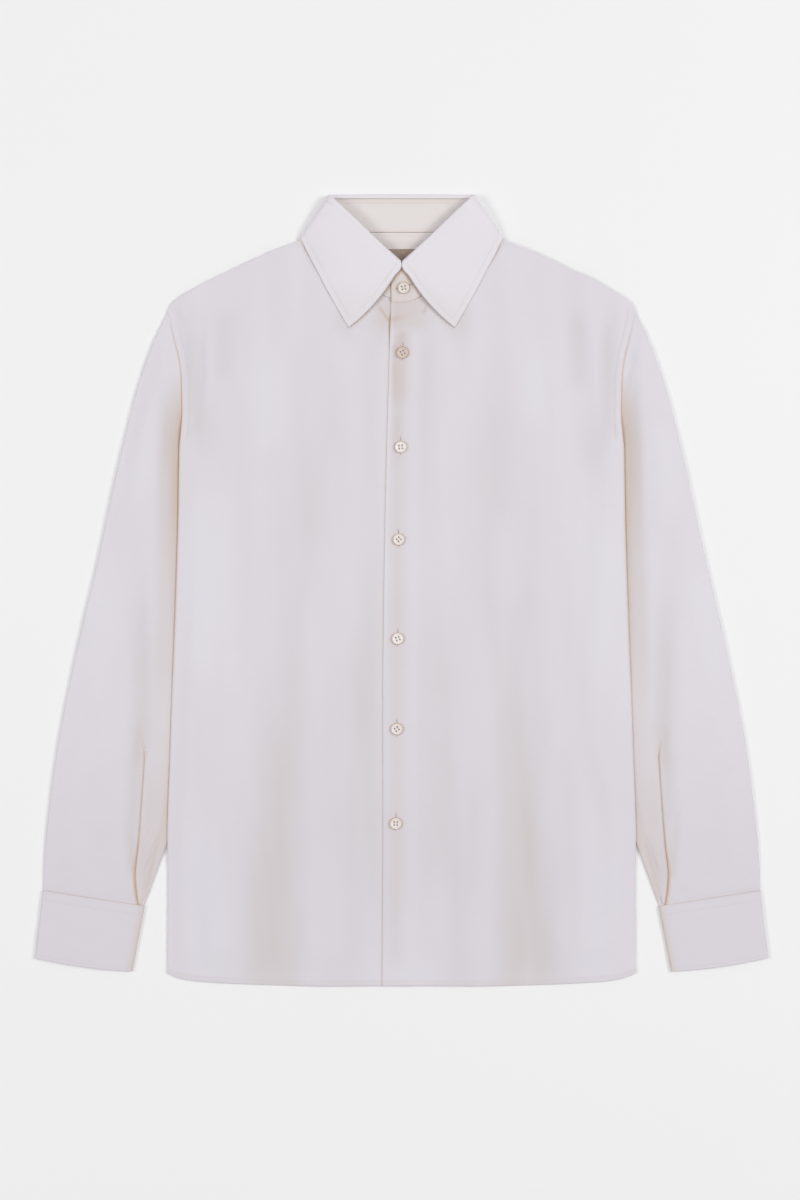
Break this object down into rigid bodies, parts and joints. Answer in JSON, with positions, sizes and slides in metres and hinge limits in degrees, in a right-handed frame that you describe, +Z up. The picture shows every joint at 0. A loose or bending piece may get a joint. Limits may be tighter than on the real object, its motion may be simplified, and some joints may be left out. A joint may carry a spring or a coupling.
{
  "type": "twill shirt",
  "caption": "Long-sleeved button-front twill shirt with a folded collar and barrel cuffs, laid flat on its back with its arms beside the body.",
  "frame": {"origin": "centre of the flat shirt's outline, on the surface that it lies on", "axes": "+X to the wearer's left, +Y from hem to collar, +Z up from the surface, out of the shirt's front"},
  "size_m": [0.756, 0.8133, 0.0166],
  "materials": {
    "twill": "off-white brushed cotton twill, matt with a slight sheen along the ribs",
    "label": "plain woven taupe tape",
    "buttons": "pearly cream resin with a darker rim"
  },
  "bodies": {
    "root": {"back_body": "twill", "yoke": "twill", "front_right": "twill", "front_left": "twill", "sleeve_left": "twill", "cuff_left": "twill", "sleeve_right": "twill", "cuff_right": "twill", "collar_stand": "twill", "collar_fall": "twill", "neck_label": "label", "button_stand": "buttons", "button_1": "buttons", "button_2": "buttons", "button_3": "buttons", "button_4": "buttons", "button_5": "buttons", "button_6": "buttons"}
  },
  "joints": []
}
